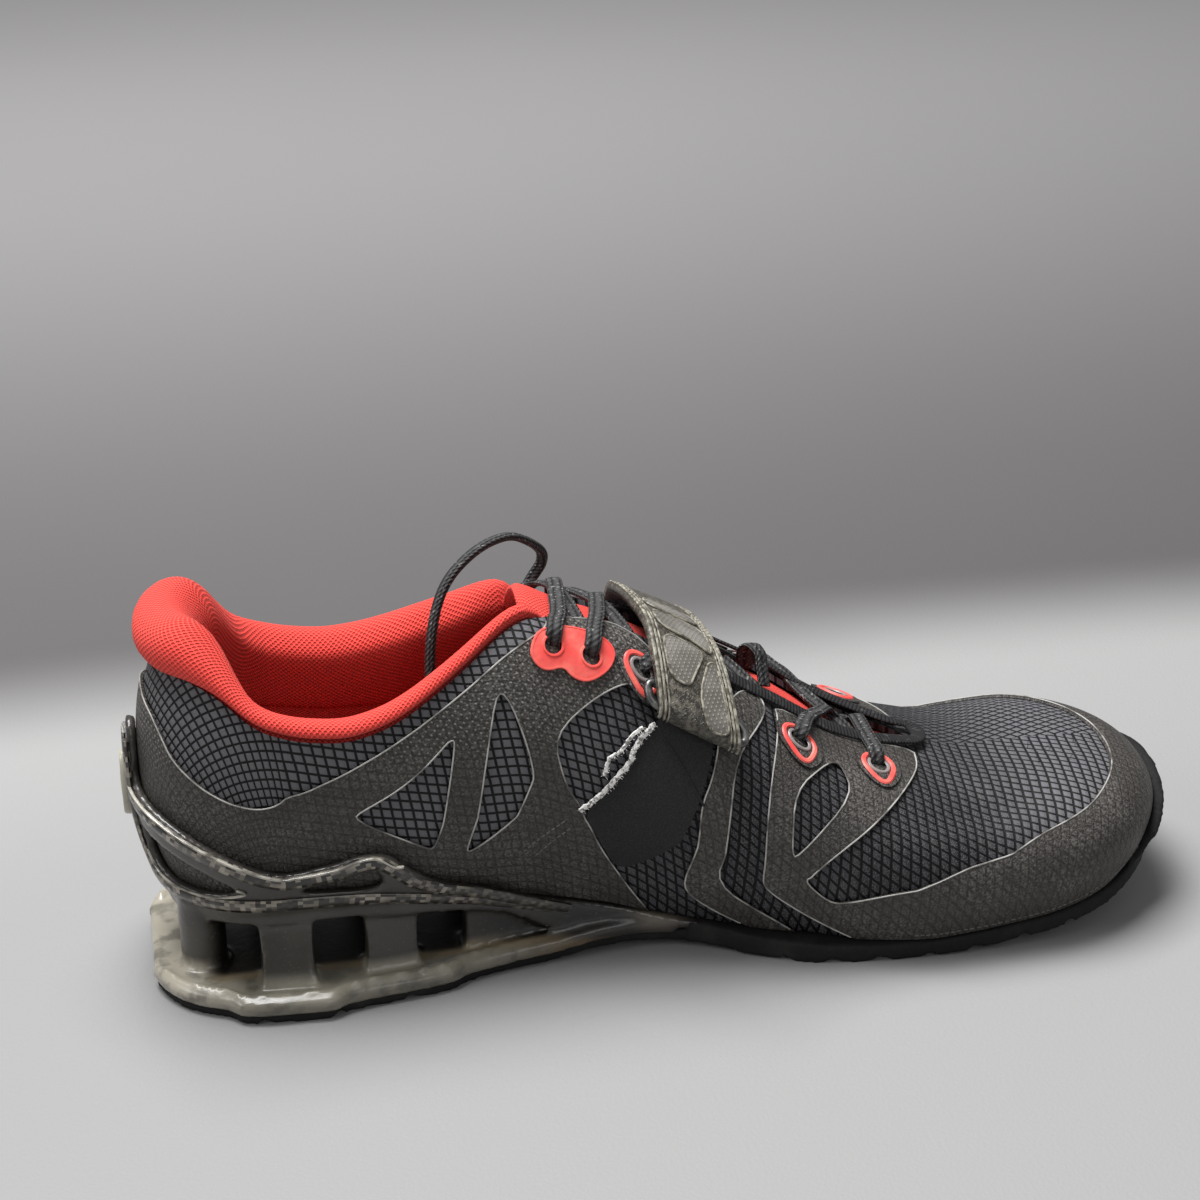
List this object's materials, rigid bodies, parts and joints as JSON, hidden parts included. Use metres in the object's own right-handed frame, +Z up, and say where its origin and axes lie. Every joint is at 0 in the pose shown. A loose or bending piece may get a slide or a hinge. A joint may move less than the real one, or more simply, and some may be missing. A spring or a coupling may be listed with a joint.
{
  "type": "weightlifting shoe",
  "caption": "Empty left weightlifting shoe: raised open heel truss, flat rubber tread, hollow upper with welded films, padded collar, laces and an instep strap.",
  "frame": {"origin": "on the floor under the heel pivot, in the flat of the heel tread between two grooves", "axes": "+X to the toe, +Y to the lateral side, +Z up from the floor"},
  "size_m": [0.3004, 0.1051, 0.1117],
  "materials": {
    "rubber": "matt black moulded rubber",
    "moulding": "smoky translucent moulding, satin",
    "button": "smooth translucent button",
    "ripstop": "coated ripstop fabric",
    "film": "welded film, satin",
    "webbing": "smooth black fabric",
    "knit": "coral knit over foam",
    "coral": "welded coral film",
    "footbed": "dark red footbed cloth",
    "strapping": "coated synthetic strap, satin",
    "wire": "dull steel wire",
    "braid": "black braided lace"
  },
  "bodies": {
    "root": {"outsole": "rubber", "heel_truss": "moulding", "heel_badge": "button", "upper": "ripstop", "counter_film": "film", "arch_strip_medial": "film", "arch_strip_lateral": "film", "toe_cap": "film", "anchor_panel_medial": "webbing", "anchor_panel_lateral": "webbing", "eyelet_patch_medial": "coral", "eyelet_patch_lateral": "coral", "eyelet_third_medial": "coral", "eyelet_third_lateral": "coral", "eyelet_fourth_medial": "coral", "eyelet_fourth_lateral": "coral", "eyelet_fifth_medial": "coral", "eyelet_fifth_lateral": "coral", "collar_lining": "knit", "tongue": "knit", "insole": "footbed", "instep_strap": "strapping", "strap_ring": "wire", "lace_crossings": "braid", "lace_loop": "braid"}
  },
  "joints": []
}
